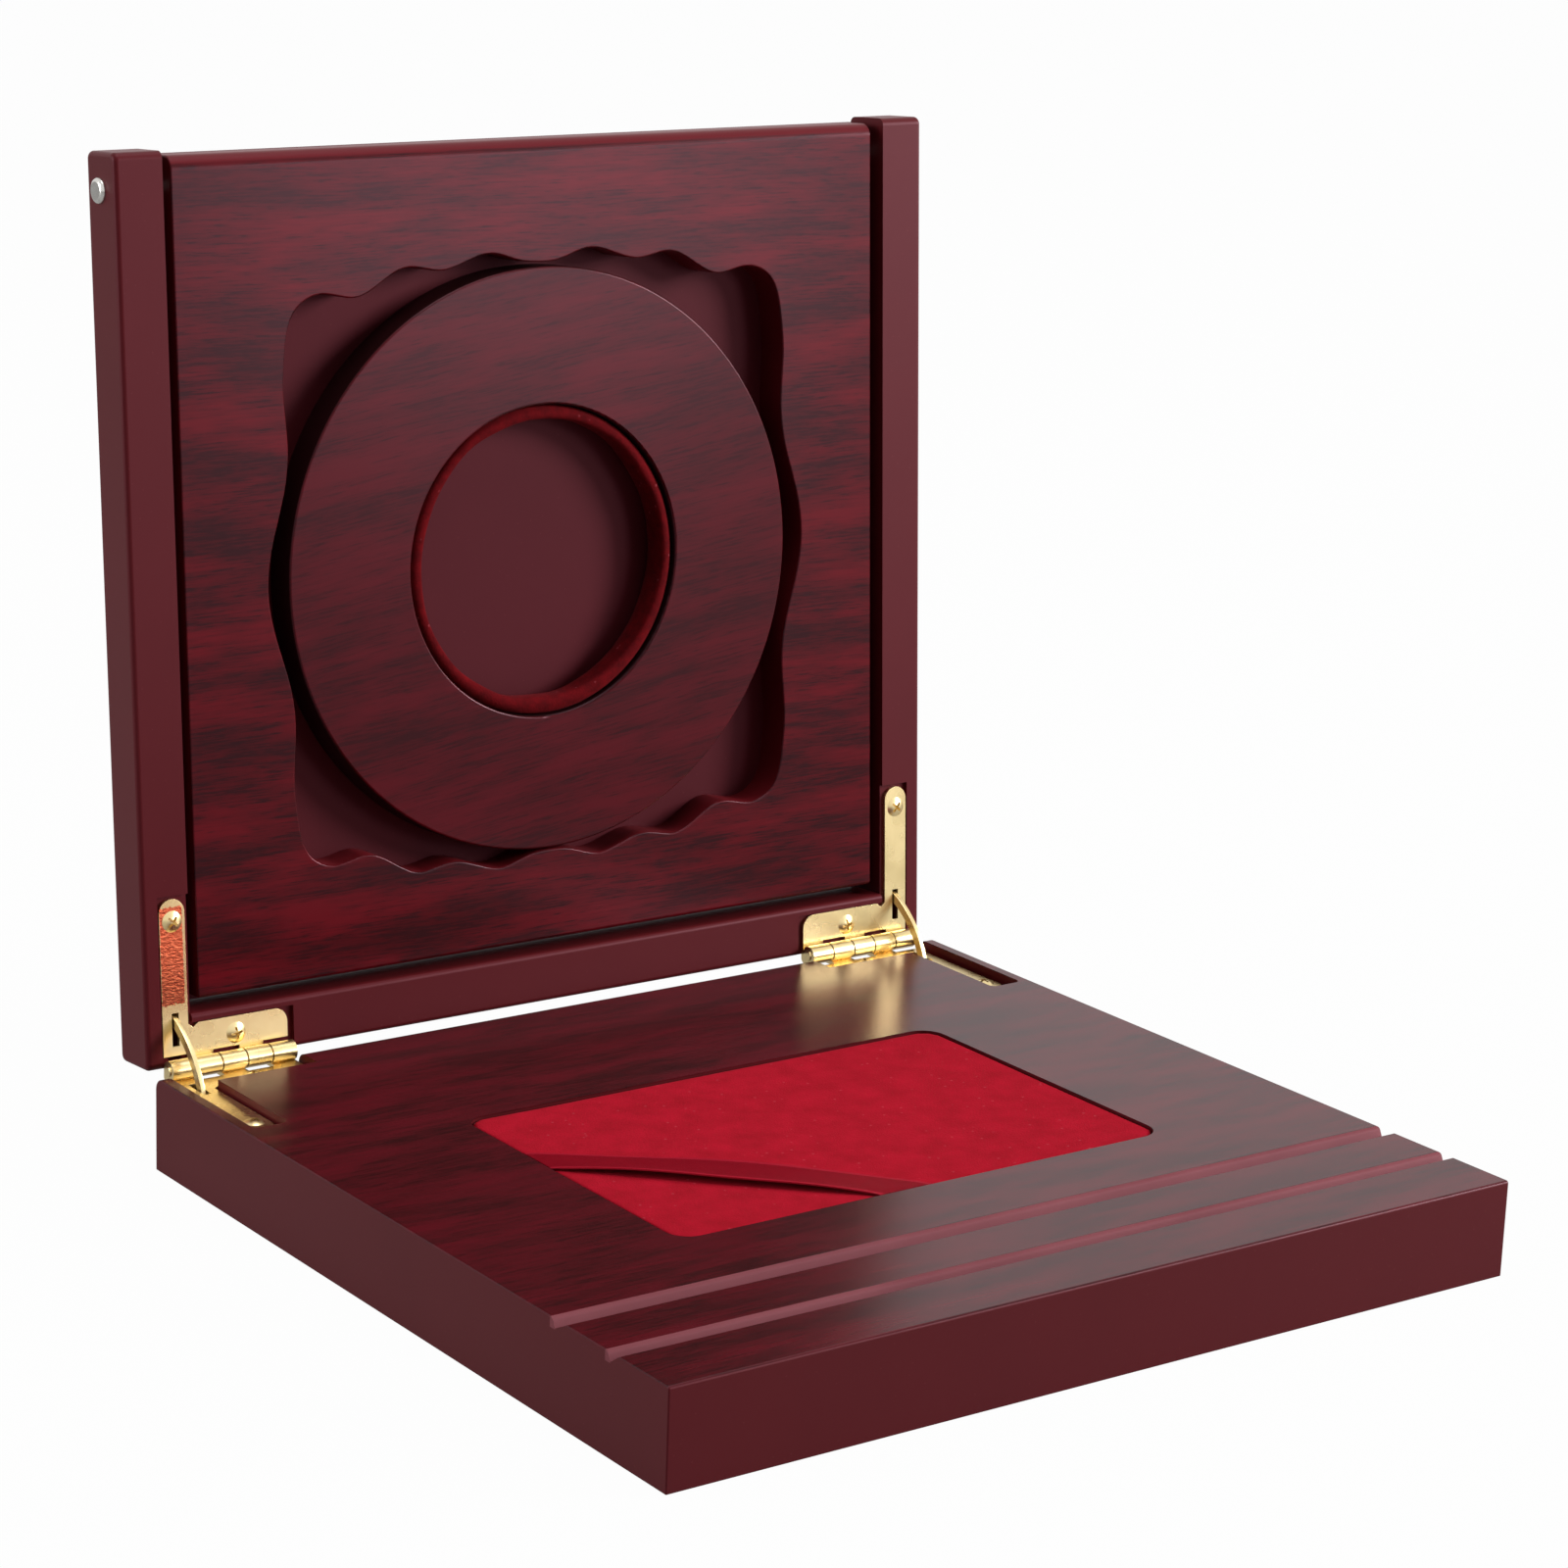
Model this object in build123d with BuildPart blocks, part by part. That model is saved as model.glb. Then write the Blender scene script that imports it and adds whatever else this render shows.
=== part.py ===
from build123d import *
import os
from math import asin, atan, cos, degrees, radians, sin, sqrt, tan

# Base: a shallow painted box that stands on Z 0, its front towards -Y
base_width = 200.0
base_depth = 186.0
bottom_board_thickness = 3.0
rail_height = 6.0
rail_width = 12.0
top_board_thickness = 11.0
base_edge_radius = 0.6
base_back_edge_radius = 2.5

# The two stand grooves, measured back from the front edge to where each floor meets the top
front_groove_from_front = 15.2
back_groove_from_front = 31.85
front_groove_width = 3.65
back_groove_width = 4.6
groove_depth = 1.9
groove_wall_angle = 65.0
groove_lip_radius = 1.2

# Recess for the display pad, and the pad with its lifting ribbon
recess_width = 118.4
recess_length = 76.8
recess_centre_y = 1.35
recess_depth = 6.5
recess_corner_radius = 5.0
pad_clearance = 0.4
pad_board_thickness = 3.0
pad_velvet_thickness = 3.2
pad_edge_radius = 0.7
ribbon_thickness = 0.3
ribbon_end_gap = 0.05
ribbon_tail = 4.0
ribbon_rise = 1.3
ribbon_lift = 0.05
ribbon_left_start_from_front = 44.07
ribbon_left_end_from_front = 54.41
ribbon_front_start_from_left = 47.0
ribbon_front_end_from_left = 59.77

# Hinge axis, from the top back edge of the base
axis_behind_base = 1.5
axis_above_base = 0.15

# Lid frame, in the lid's own plane: x across, y up from the axis, z out of its inner face
lid_lean = 3.84
lid_length = 187.0
lid_thickness = 12.0
lid_face_behind_axis = 1.85
lid_foot_below_axis = 0.1
stile_width = 10.6
bottom_rail_top = 10.8
lid_edge_radius = 1.0
stile_corner_radius = 1.6

# Swinging panel between the stiles
panel_side_gap = 2.4
panel_foot_gap = 2.6
panel_top_gap = 1.1
panel_face_behind_axis = 3.15
face_board_thickness = 8.0
back_board_thickness = 2.7
back_board_gap = 0.4
panel_top_radius = 2.75
panel_edge_radius = 0.8

# Pivot pins of the panel
pivot_from_top = 7.65
pivot_behind_axis = 8.5
pivot_radius = 1.5
pivot_clearance = 0.05
pivot_depth_in_panel = 10.0
pivot_end_gap = 0.3
pivot_head_radius = 2.65
pivot_head_height = 1.0
pivot_head_rounded_share = 0.9

# Wavy cut-out: a quarter of its outline, from above its centre round to its side
wave_from_panel_foot = 83.35
wave_quarter = [
    (0.0, 63.4),
    (5.2, 63.9),
    (12.3, 65.8),
    (24.8, 62.9),
    (33.0, 64.0),
    (45.5, 58.5),
    (53.5, 59.7),
    (59.4, 57.0),
    (62.2, 48.5),
    (62.8, 41.0),
    (62.1, 28.5),
    (63.3, 19.5),
    (66.1, 10.0),
    (67.6, 0.0),
]

# Ring that holds the coin, and its velvet collar
ring_drop = 0.3
ring_gap = 0.35
ring_hole_radius = 33.58
ring_edge_radius = 0.5
collar_gap = 0.08
collar_inner_radius = 30.4
collar_sunk = 0.5
collar_edge_radius = 0.9

# Quadrant hinges: distances across are from the middle of the box, reaches are from the axis
knuckle_count = 5
knuckle_gap = 0.35
barrel_radius = 2.15
barrel_length = 29.15
strap_from_side = 3.85
strap_width = 5.9
strap_reach = 35.6
plate_reach = 8.8
plate_corner_radius = 3.0
leaf_face_below_axis = 1.95
leaf_thickness = 0.85
leaf_cut_back = 2.45
web_corner_radius = 1.2
notch_width = 2.3
notch_depth = 0.9
hinge_pin_radius = 1.1
hinge_pin_clearance = 0.05
hinge_pin_proud = 0.3

# Mortises that the hinge leaves lie in
base_mortise_inner_gap = 0.6
base_mortise_outer_gap = 1.45
base_mortise_end_gap = 3.0
base_mortise_plate_gap = 0.3
base_mortise_corner_radius = 1.5
lid_mortise_outer_gap = 0.3
lid_mortise_end_gap = 0.7
lid_mortise_plate_gap = 0.2
lid_mortise_inner_gap = 1.5

# Countersunk cross-head screws, two to a leaf: one in the strap, one in the plate
screw_shank_radius = 1.0
screw_head_radius = 2.25
screw_head_depth = 0.8
screw_dome_height = 0.7
screw_length = 7.5
screw_cross_length = 2.6
screw_cross_width = 0.55
screw_cross_depth = 0.5
strap_screw_reach = 30.9
plate_screw_reach = 5.2
plate_screw_from_strap = 16.95

# Curved stays: an arc that passes near the axis, through a slot in each leaf
stay_bend_radius = 22.0
stay_nearest = 6.1
stay_nearest_angle = 42.0
stay_depth = 2.0
stay_thickness = 1.0
stay_head_width = 2.6
stay_head_length = 0.8
stay_head_gap = 0.35
stay_swing = 39.65
stay_slot_clearance = 0.3
stay_slot_start = 4.4
stay_slot_end = 11.5
stay_pocket_clearance = 0.3
lid_swing = 94.4

# Worked out from the sizes above
base_height = bottom_board_thickness + rail_height + top_board_thickness
half_width = base_width / 2
half_depth = base_depth / 2
axis_y = half_depth + axis_behind_base
axis_z = base_height + axis_above_base
stile_inner = half_width - stile_width
panel_half_width = stile_inner - panel_side_gap
lid_foot = -lid_foot_below_axis
lid_top = lid_foot + lid_length
panel_foot = bottom_rail_top + panel_foot_gap
panel_top = lid_top - panel_top_gap
pivot_height = lid_top - pivot_from_top
wave_centre = panel_foot + wave_from_panel_foot
wave_half = wave_quarter + [(across, -up) for across, up in reversed(wave_quarter[:-1])]
wave_outline = wave_half + [(-across, up) for across, up in reversed(wave_half[1:-1])]
ring_centre = wave_centre - ring_drop
ring_outer_radius = wave_quarter[0][1] - ring_drop - ring_gap
leaf_back_below_axis = leaf_face_below_axis + leaf_thickness
strap_outer = half_width - strap_from_side
strap_inner = strap_outer - strap_width
strap_middle = strap_outer - strap_width / 2
barrel_inner = strap_outer - barrel_length
stay_across = strap_middle
plate_screw_across = strap_outer - plate_screw_from_strap
screw_depth_in_wood = screw_length - leaf_thickness
knuckle_width = (barrel_length - knuckle_gap * (knuckle_count - 1)) / knuckle_count
lean = radians(lid_lean)
open_angle = 90 + lid_lean

# Base plane: x to the left, y forward from the axis, z up. Lid plane: x to the right, y up the lid
base_plane = Plane(origin=(0, axis_y, axis_z), x_dir=(-1, 0, 0), z_dir=(0, 0, 1))
lid_plane = Plane(origin=(0, axis_y, axis_z), x_dir=(1, 0, 0), z_dir=(0, -cos(lean), sin(lean)))

os.makedirs("parts", exist_ok=True)


def save(part, name):
    """Label a finished piece and write it under its own name."""
    part.label = name
    export_step(part, f"parts/{name}.step")


def block(across, along, mode=Mode.ADD):
    """A rectangle of the open sketch between two values across and two along."""
    middle = ((across[0] + across[1]) / 2, (along[0] + along[1]) / 2)
    with Locations(middle):
        Rectangle(abs(across[1] - across[0]), abs(along[1] - along[0]), mode=mode)


def span(side, near, far):
    """Two distances from the middle, on the side where the plane's x is positive or negative."""
    return (side * near, side * far)


def section(plane, across):
    """The plane square to the hinge axis: its x runs along the leaf, its y out of the face."""
    return Plane(
        origin=plane.origin + plane.x_dir * across, x_dir=plane.y_dir, z_dir=plane.x_dir
    )


def shifted(plane, across, along, out):
    """A plane parallel to another, with its origin at a point given in that one."""
    origin = plane.from_local_coords(Vector(across, along, out))
    return Plane(origin=origin, x_dir=plane.x_dir, z_dir=plane.z_dir)


def screw_places(side):
    """Where the two screws of a leaf stand, in the leaf's plane."""
    return [
        (side * strap_middle, strap_screw_reach),
        (side * plate_screw_across, plate_screw_reach),
    ]


def stay_centre(nearest_angle):
    """Centre of the stay's bend, from the axis, for the direction of its nearest point."""
    distance = stay_bend_radius - stay_nearest
    return (-distance * cos(radians(nearest_angle)), -distance * sin(radians(nearest_angle)))


def stay_end_angle(centre):
    """Angle on the bend where the head begins, just behind the leaf."""
    drop = -leaf_back_below_axis - stay_head_gap - centre[1]
    return degrees(asin(drop / (stay_bend_radius + stay_depth / 2)))


def stay_pocket(centre, turn):
    """Nearest reach, farthest reach and depth of the pocket that the head swings in."""
    tip = radians(stay_end_angle(centre) - degrees(stay_head_length / stay_bend_radius))
    corners = [
        (centre[0] + radius * cos(tip), centre[1] + radius * sin(tip))
        for radius in (stay_bend_radius - stay_depth / 2, stay_bend_radius + stay_depth / 2)
    ]
    swing = radians(turn)
    turned = [(y * cos(swing) + z * sin(swing), z * cos(swing) - y * sin(swing)) for y, z in corners]
    nearest = min(y for y, z in turned) - stay_pocket_clearance
    farthest = max(sqrt(y * y + z * z) for y, z in corners) + stay_pocket_clearance
    depth = -min(z for y, z in turned) + stay_pocket_clearance
    return nearest, farthest, depth


base_stay_centre = stay_centre(stay_nearest_angle)
lid_stay_centre = stay_centre(open_angle - stay_nearest_angle)
base_pocket = stay_pocket(base_stay_centre, stay_swing)
lid_pocket = stay_pocket(lid_stay_centre, lid_swing - stay_swing)
pocket_width = stay_head_width + 2 * stay_pocket_clearance


# Base: top board
with BuildPart() as base_top_board:
    with BuildSketch(Plane.YZ.offset(-half_width)):
        block((-half_depth, half_depth), (base_height - top_board_thickness, base_height))
        top_corners = vertices().group_by(Axis.Y)[-1].sort_by(Axis.X)
        fillet(top_corners[0], radius=base_edge_radius)
        top_corners = vertices().group_by(Axis.Y)[-1].sort_by(Axis.X)
        fillet(top_corners[-1], radius=base_back_edge_radius)
    extrude(amount=base_width)
    side_faces = faces().filter_by(Axis.X)
    underside = faces().sort_by(Axis.Z)[0].edges()
    side_edges = [edge for edge in side_faces.edges() if edge not in underside]
    fillet(side_edges, radius=base_edge_radius / 2)
    # Stand grooves: a steep back wall with a round lip, and a floor that rises to the front
    for from_front, width in (
        (front_groove_from_front, front_groove_width),
        (back_groove_from_front, back_groove_width),
    ):
        rise_end = -half_depth + from_front
        lip = rise_end + width
        wall_foot = lip - groove_depth / tan(radians(groove_wall_angle))
        with BuildSketch(Plane.YZ.offset(-half_width)):
            with BuildLine():
                Polyline(
                    (rise_end, base_height),
                    (wall_foot, base_height - groove_depth),
                    (lip, base_height),
                    (lip + width, base_height),
                    (lip + width, base_height + groove_depth),
                    (rise_end, base_height + groove_depth),
                    close=True,
                )
            make_face()
            lip_corner = vertices().sort_by_distance((lip, base_height))[0]
            fillet(lip_corner, radius=groove_lip_radius)
        extrude(amount=base_width, mode=Mode.SUBTRACT)
    # Pad recess
    with BuildSketch(Plane.XY.offset(base_height)):
        with Locations((0, recess_centre_y)):
            RectangleRounded(recess_width, recess_length, recess_corner_radius)
    extrude(amount=-recess_depth, mode=Mode.SUBTRACT)
    # Hinge mortises, open at the back, with a pocket for each stay and the screw holes
    for side in (1, -1):
        with BuildSketch(base_plane.offset(-leaf_back_below_axis)):
            mortise_inner = strap_inner - base_mortise_inner_gap
            mortise_outer = strap_outer + base_mortise_outer_gap
            mortise_end = strap_reach + base_mortise_end_gap
            block(span(side, mortise_inner, mortise_outer), (0, mortise_end))
            end_corners = vertices().group_by(Axis.Y)[-1]
            fillet(end_corners, radius=base_mortise_corner_radius)
            plate_start = barrel_inner - base_mortise_inner_gap
            plate_end = plate_reach + base_mortise_plate_gap
            block(span(side, plate_start, mortise_outer), (0, plate_end))
        extrude(amount=leaf_back_below_axis, mode=Mode.SUBTRACT)
        with BuildSketch(section(base_plane, side * stay_across - pocket_width / 2)):
            block(base_pocket[:2], (-base_pocket[2], -leaf_face_below_axis))
        extrude(amount=pocket_width, mode=Mode.SUBTRACT)
        with BuildSketch(base_plane.offset(-leaf_face_below_axis)):
            with Locations(*screw_places(side)):
                Circle(screw_shank_radius)
        extrude(amount=-screw_length, mode=Mode.SUBTRACT)
save(base_top_board.part, "base_top_board")


def base_rail(name, corners):
    """One mitred rail between the two boards, from its outline seen from above."""
    with BuildPart() as rail:
        with BuildSketch(Plane.XY.offset(bottom_board_thickness)):
            Polygon(*corners, align=None)
            RectangleRounded(base_width, base_depth, base_edge_radius / 2, mode=Mode.INTERSECT)
        extrude(amount=rail_height)
    save(rail.part, name)


inner_x = half_width - rail_width
inner_y = half_depth - rail_width
for name, end in (("base_front_rail", -1), ("base_back_rail", 1)):
    base_rail(
        name,
        [
            (-half_width, end * half_depth),
            (half_width, end * half_depth),
            (inner_x, end * inner_y),
            (-inner_x, end * inner_y),
        ],
    )
for name, end in (("base_left_rail", -1), ("base_right_rail", 1)):
    base_rail(
        name,
        [
            (end * half_width, -half_depth),
            (end * half_width, half_depth),
            (end * inner_x, inner_y),
            (end * inner_x, -inner_y),
        ],
    )

# Base: bottom board
with BuildPart() as base_bottom_board:
    with BuildSketch():
        RectangleRounded(base_width, base_depth, base_edge_radius / 2)
    extrude(amount=bottom_board_thickness)
    fillet(faces().sort_by(Axis.Z)[0].edges(), radius=base_edge_radius / 3)
save(base_bottom_board.part, "base_bottom_board")

# Display pad: its board, its velvet and the ribbon that lifts it
pad_width = recess_width - 2 * pad_clearance
pad_length = recess_length - 2 * pad_clearance
pad_corner_radius = recess_corner_radius - pad_clearance
recess_floor = base_height - recess_depth
velvet_bottom = recess_floor + pad_board_thickness
velvet_top = velvet_bottom + pad_velvet_thickness

with BuildPart() as pad_board:
    with BuildSketch(Plane.XY.offset(recess_floor)):
        with Locations((0, recess_centre_y)):
            RectangleRounded(pad_width, pad_length, pad_corner_radius)
    extrude(amount=pad_board_thickness)
save(pad_board.part, "pad_board")

with BuildPart() as pad_velvet:
    with BuildSketch(Plane.XY.offset(velvet_bottom)):
        with Locations((0, recess_centre_y)):
            RectangleRounded(pad_width, pad_length, pad_corner_radius)
    extrude(amount=pad_velvet_thickness)
    fillet(faces().sort_by(Axis.Z)[-1].edges(), radius=pad_edge_radius)
save(pad_velvet.part, "pad_velvet")

# The ribbon runs from the left edge of the recess to its front edge, its ends tucked down
recess_left = -recess_width / 2
recess_front = recess_centre_y - recess_length / 2
left_edge = [
    recess_front + ribbon_left_start_from_front,
    recess_front + ribbon_left_end_from_front,
]
front_edge = [
    recess_left + ribbon_front_start_from_left,
    recess_left + ribbon_front_end_from_left,
]
ribbon_left = recess_left + ribbon_end_gap
ribbon_front = recess_front + ribbon_end_gap
ribbon_start = Vector(ribbon_left, sum(left_edge) / 2)
ribbon_end = Vector(sum(front_edge) / 2, ribbon_front)
ribbon_run = ribbon_end - ribbon_start
ribbon_bottom = velvet_top + ribbon_lift
ribbon_plane = Plane(
    origin=(ribbon_start.X, ribbon_start.Y, ribbon_bottom),
    x_dir=ribbon_run,
    z_dir=ribbon_run.cross(Vector(0, 0, 1)),
)

with BuildPart() as pad_ribbon:
    # A low arch seen from the side, flat past both ends, then trimmed to its outline from above
    with BuildSketch(ribbon_plane):
        with BuildLine():
            run = ribbon_run.length
            past = run / 4
            top = ribbon_thickness
            under = ThreePointArc((0, 0), (run / 2, ribbon_rise), (run, 0))
            over = ThreePointArc((run, top), (run / 2, ribbon_rise + top), (0, top))
            Polyline(under @ 1, (run + past, 0), (run + past, top), over @ 0)
            Polyline(over @ 1, (-past, top), (-past, 0), under @ 0)
        make_face()
    extrude(amount=run / 2, both=True)
    with BuildSketch(Plane.XY.offset(ribbon_bottom)):
        Polygon(
            (ribbon_left, left_edge[0]),
            (ribbon_left, left_edge[1]),
            (front_edge[1], ribbon_front),
            (front_edge[0], ribbon_front),
            align=None,
        )
    extrude(amount=ribbon_rise + 2 * ribbon_thickness, mode=Mode.INTERSECT)
    with BuildSketch(Plane.XY.offset(ribbon_bottom + ribbon_thickness)):
        block((ribbon_left, ribbon_left + ribbon_thickness), left_edge)
        block(front_edge, (ribbon_front, ribbon_front + ribbon_thickness))
    extrude(amount=-ribbon_tail)
save(pad_ribbon.part, "pad_ribbon")


# Lid frame: two stiles, each with a hinge mortise, a stay pocket and a bore for its pivot pin
mortise_floor = -leaf_back_below_axis
for name, side in (("lid_left_stile", -1), ("lid_right_stile", 1)):
    with BuildPart() as stile:
        with BuildSketch(lid_plane.offset(-lid_face_behind_axis)):
            block(span(side, stile_inner, half_width), (lid_foot, lid_top))
        extrude(amount=-lid_thickness)
        fillet(edges().filter_by(Axis.X), radius=stile_corner_radius)
        outer_face = faces().sort_by(Axis.X)[-1 if side > 0 else 0]
        fillet(outer_face.edges(), radius=lid_edge_radius)
        with BuildSketch(lid_plane.offset(mortise_floor)):
            block(
                span(side, stile_inner, strap_outer + lid_mortise_outer_gap),
                (lid_foot, strap_reach + lid_mortise_end_gap),
            )
        extrude(amount=leaf_back_below_axis, mode=Mode.SUBTRACT)
        with BuildSketch(section(lid_plane, side * stay_across - pocket_width / 2)):
            block(lid_pocket[:2], (-lid_pocket[2], mortise_floor))
        extrude(amount=pocket_width, mode=Mode.SUBTRACT)
        with BuildSketch(lid_plane.offset(mortise_floor)):
            with Locations((side * strap_middle, strap_screw_reach)):
                Circle(screw_shank_radius)
        extrude(amount=-screw_depth_in_wood, mode=Mode.SUBTRACT)
        with BuildSketch(section(lid_plane, side * half_width)):
            with Locations((pivot_height, -pivot_behind_axis)):
                Circle(pivot_radius)
        extrude(amount=-side * stile_width, mode=Mode.SUBTRACT)
    save(stile.part, name)

with BuildPart() as lid_bottom_rail:
    with BuildSketch(lid_plane.offset(-lid_face_behind_axis)):
        block((-stile_inner, stile_inner), (lid_foot, bottom_rail_top))
    extrude(amount=-lid_thickness)
    fillet(edges().filter_by(Axis.X), radius=lid_edge_radius)
    for side in (1, -1):
        with BuildSketch(lid_plane.offset(mortise_floor)):
            block(
                span(side, barrel_inner - lid_mortise_inner_gap, stile_inner),
                (lid_foot, plate_reach + lid_mortise_plate_gap),
            )
        extrude(amount=leaf_back_below_axis, mode=Mode.SUBTRACT)
        with BuildSketch(lid_plane.offset(mortise_floor)):
            with Locations((side * plate_screw_across, plate_screw_reach)):
                Circle(screw_shank_radius)
        extrude(amount=-screw_depth_in_wood, mode=Mode.SUBTRACT)
save(lid_bottom_rail.part, "lid_bottom_rail")

# Pivot pins of the panel, pressed into the stiles, with a domed head outside
for name, side in (("left_pivot_pin", -1), ("right_pivot_pin", 1)):
    with BuildPart() as pivot_pin:
        with BuildSketch(section(lid_plane, side * half_width)):
            with Locations((pivot_height, -pivot_behind_axis)):
                Circle(pivot_radius)
        extrude(amount=-side * (half_width - panel_half_width + pivot_depth_in_panel))
        with BuildSketch(section(lid_plane, side * half_width)):
            with Locations((pivot_height, -pivot_behind_axis)):
                Circle(pivot_head_radius)
        extrude(amount=side * pivot_head_height)
        outer_end = faces().sort_by(Axis.X)[-1 if side > 0 else 0]
        fillet(outer_end.edges(), radius=pivot_head_height * pivot_head_rounded_share)
    save(pivot_pin.part, name)

# Swinging panel: the face board with its wavy cut-out, bored for the pivot pins
panel_front = -panel_face_behind_axis
face_board_back = panel_front - face_board_thickness
with BuildPart() as panel_face_board:
    with BuildSketch(section(lid_plane, -panel_half_width)):
        block((panel_foot, panel_top), (face_board_back, panel_front))
        front_corners = vertices().group_by(Axis.Y)[-1].sort_by(Axis.X)
        fillet(front_corners[-1], radius=panel_top_radius)
        front_corners = vertices().group_by(Axis.Y)[-1].sort_by(Axis.X)
        fillet(front_corners[0], radius=panel_edge_radius)
    extrude(amount=2 * panel_half_width)
    back_edges = faces().sort_by(Axis.Y)[-1].edges()
    side_edges = [e for e in faces().filter_by(Axis.X).edges() if e not in back_edges]
    fillet(side_edges, radius=panel_edge_radius / 2)
    wave_plane = shifted(lid_plane, 0, wave_centre, panel_front)
    with BuildSketch(wave_plane):
        with BuildLine():
            Spline(*wave_outline, periodic=True)
        make_face()
    extrude(amount=-face_board_thickness, mode=Mode.SUBTRACT)
    for side in (1, -1):
        with BuildSketch(section(lid_plane, side * panel_half_width)):
            with Locations((pivot_height, -pivot_behind_axis)):
                Circle(pivot_radius + pivot_clearance)
        extrude(amount=-side * (pivot_depth_in_panel + pivot_end_gap), mode=Mode.SUBTRACT)
save(panel_face_board.part, "panel_face_board")

# The back board is larger, so that no light shows round the panel
back_board_half_width = stile_inner - back_board_gap
with BuildPart() as panel_back_board:
    with BuildSketch(lid_plane.offset(face_board_back)):
        block(
            (-back_board_half_width, back_board_half_width),
            (bottom_rail_top + back_board_gap, panel_top),
        )
    extrude(amount=-back_board_thickness)
    fillet(faces().sort_by(Axis.Y)[-1].edges(), radius=panel_edge_radius)
save(panel_back_board.part, "panel_back_board")

# Coin ring and its velvet collar, standing on the back board
coin_plane = shifted(lid_plane, 0, ring_centre, face_board_back)
with BuildPart() as coin_ring:
    with BuildSketch(coin_plane):
        Circle(ring_outer_radius)
        Circle(ring_hole_radius, mode=Mode.SUBTRACT)
    extrude(amount=face_board_thickness)
    fillet(faces().sort_by(Axis.Y)[0].edges(), radius=ring_edge_radius)
save(coin_ring.part, "coin_ring")

with BuildPart() as coin_collar:
    with BuildSketch(coin_plane):
        Circle(ring_hole_radius - collar_gap)
        Circle(collar_inner_radius, mode=Mode.SUBTRACT)
    extrude(amount=face_board_thickness - collar_sunk)
    fillet(faces().sort_by(Axis.Y)[0].edges(), radius=collar_edge_radius)
save(coin_collar.part, "coin_collar")


def knuckle_start(index):
    """Distance from the middle of the box to the near end of a knuckle, counted from outside."""
    return strap_outer - knuckle_width - index * (knuckle_width + knuckle_gap)


def hinge_leaf(name, plane, side, own):
    """One leaf: a plate and a strap in one piece, with the knuckles that it owns."""
    with BuildPart() as leaf:
        with BuildSketch(plane.offset(-leaf_back_below_axis)):
            block(span(side, barrel_inner, strap_outer), (0, plate_reach))
            inner_corner = vertices().sort_by_distance((side * barrel_inner, plate_reach))[0]
            fillet(inner_corner, radius=plate_corner_radius)
            block(span(side, strap_inner, strap_outer), (0, strap_reach - strap_width / 2))
            with Locations((side * strap_middle, strap_reach - strap_width / 2)):
                Circle(strap_width / 2)
            Polygon(
                (side * strap_inner, plate_reach),
                (side * (strap_inner - notch_width), plate_reach),
                (side * (strap_inner - notch_width / 2), plate_reach - notch_depth),
                align=None,
                mode=Mode.SUBTRACT,
            )
            slot_half = stay_thickness / 2 + stay_slot_clearance
            slot = span(side, stay_across - slot_half, stay_across + slot_half)
            block(slot, (stay_slot_start, stay_slot_end), mode=Mode.SUBTRACT)
            for index in range(knuckle_count):
                if index not in own:
                    near = knuckle_start(index) - knuckle_gap
                    far = knuckle_start(index) + knuckle_width + knuckle_gap
                    block(span(side, near, far), (0, leaf_cut_back), mode=Mode.SUBTRACT)
        extrude(amount=leaf_thickness)
        for index in own:
            ends = span(side, knuckle_start(index), knuckle_start(index) + knuckle_width)
            with BuildSketch(section(plane, min(ends))):
                block((-barrel_radius, 0), (-leaf_back_below_axis, 0))
                web_corner = vertices().sort_by_distance((-barrel_radius, -leaf_back_below_axis))
                fillet(web_corner[0], radius=web_corner_radius)
                Circle(barrel_radius)
            extrude(amount=knuckle_width)
        with BuildSketch(section(plane, side * barrel_inner)):
            Circle(hinge_pin_radius + hinge_pin_clearance)
        extrude(amount=side * (strap_outer - barrel_inner), mode=Mode.SUBTRACT)
        with BuildSketch(plane.offset(-leaf_face_below_axis)):
            with Locations(*screw_places(side)):
                Circle(screw_shank_radius)
        extrude(amount=-leaf_thickness, mode=Mode.SUBTRACT)
        with BuildSketch(plane.offset(-leaf_face_below_axis)):
            with Locations(*screw_places(side)):
                Circle(screw_head_radius)
        taper = degrees(atan((screw_head_radius - screw_shank_radius) / screw_head_depth))
        extrude(amount=-screw_head_depth, taper=taper, mode=Mode.SUBTRACT)
    save(leaf.part, name)


def hinge_screws(name, plane, side, turns):
    """The two screws of a leaf, each with its cross turned as it was driven home."""
    with BuildPart() as screws:
        for (across, reach), turn in zip(screw_places(side), turns):
            head = shifted(plane, across, reach, -leaf_face_below_axis)
            with BuildSketch(head.offset(-screw_head_depth)):
                Circle(screw_shank_radius)
            extrude(amount=screw_head_depth - screw_length)
            with BuildSketch(section(head, 0)):
                with BuildLine():
                    edge = (screw_head_radius, 0)
                    dome = TangentArc((0, screw_dome_height), edge, tangent=(1, 0))
                    foot = (screw_shank_radius, -screw_head_depth)
                    Polyline(edge, foot, (0, -screw_head_depth), dome @ 0)
                make_face()
            revolve(axis=Axis(head.origin, head.z_dir))
            with BuildSketch(head.offset(screw_dome_height)):
                Rectangle(screw_cross_length, screw_cross_width, rotation=turn)
                Rectangle(screw_cross_width, screw_cross_length, rotation=turn)
            extrude(amount=-screw_cross_depth - screw_dome_height, mode=Mode.SUBTRACT)
    save(screws.part, name)


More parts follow.
